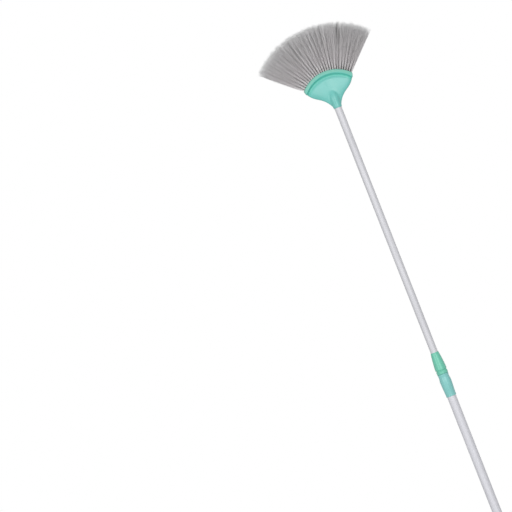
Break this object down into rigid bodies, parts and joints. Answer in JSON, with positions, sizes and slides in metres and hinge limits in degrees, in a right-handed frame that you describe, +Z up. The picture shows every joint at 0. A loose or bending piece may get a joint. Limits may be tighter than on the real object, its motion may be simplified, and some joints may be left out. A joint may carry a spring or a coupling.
{
  "type": "cobweb brush",
  "caption": "Telescopic cobweb brush: fan-shaped bristle head screwed on a tube pole with a twist lock and a hanging eye in its end cap.",
  "frame": {"origin": "centre of the end cap's flat bottom face", "axes": "+Z up along the pole to the head, +X across the fan's width, -Y towards its front"},
  "size_m": [0.286, 0.0456, 1.6276],
  "materials": {
    "outer_tube": "satin",
    "inner_tube": "satin",
    "mint_plastic": "smooth moulded",
    "teal_plastic": "smooth moulded",
    "white_plastic": "plain moulded",
    "black_plastic": "plain moulded",
    "rivet_steel": "plain",
    "bristle": "fine synthetic filaments"
  },
  "bodies": {
    "pole": {"outer_tube": "outer_tube", "lock_sleeve": "teal_plastic", "split_collet": "white_plastic", "end_cap": "mint_plastic"},
    "nut": {"lock_nut": "mint_plastic"},
    "extension": {"inner_tube": "inner_tube", "guide_plug": "black_plastic", "pole_tip": "white_plastic", "tip_rivet": "rivet_steel"},
    "head": {"fan_block": "mint_plastic", "tuft_front_01": "bristle", "tuft_front_02": "bristle", "tuft_front_03": "bristle", "tuft_front_04": "bristle", "tuft_front_05": "bristle", "tuft_front_06": "bristle", "tuft_front_07": "bristle", "tuft_front_08": "bristle", "tuft_front_09": "bristle", "tuft_front_10": "bristle", "tuft_front_11": "bristle", "tuft_front_12": "bristle", "tuft_front_13": "bristle", "tuft_front_14": "bristle", "tuft_front_15": "bristle", "tuft_front_16": "bristle", "tuft_front_17": "bristle", "tuft_front_18": "bristle", "tuft_front_19": "bristle", "tuft_front_20": "bristle", "tuft_front_21": "bristle", "tuft_front_22": "bristle", "tuft_front_23": "bristle", "tuft_front_24": "bristle", "tuft_front_25": "bristle", "tuft_back_01": "bristle", "tuft_back_02": "bristle", "tuft_back_03": "bristle", "tuft_back_04": "bristle", "tuft_back_05": "bristle", "tuft_back_06": "bristle", "tuft_back_07": "bristle", "tuft_back_08": "bristle", "tuft_back_09": "bristle", "tuft_back_10": "bristle", "tuft_back_11": "bristle", "tuft_back_12": "bristle", "tuft_back_13": "bristle", "tuft_back_14": "bristle", "tuft_back_15": "bristle", "tuft_back_16": "bristle", "tuft_back_17": "bristle", "tuft_back_18": "bristle", "tuft_back_19": "bristle", "tuft_back_20": "bristle", "tuft_back_21": "bristle", "tuft_back_22": "bristle", "tuft_back_23": "bristle", "tuft_back_24": "bristle"}
  },
  "joints": [
    {"name": "inner_slide", "type": "slide", "parent": "pole", "child": "extension", "axis": [0, 0, 1], "range_m": [-0.604, 0.0197]},
    {"name": "nut_turn", "type": "hinge", "parent": "pole", "child": "nut", "pos_m": [0, 0, 0.7428], "axis": [0, 0, 1], "range_deg": [0, 120]},
    {"name": "head_turn", "type": "hinge", "parent": "extension", "child": "head", "pos_m": [0, 0, 1.4228], "axis": [0, 0, 1], "range_deg": [0, 360]}
  ]
}
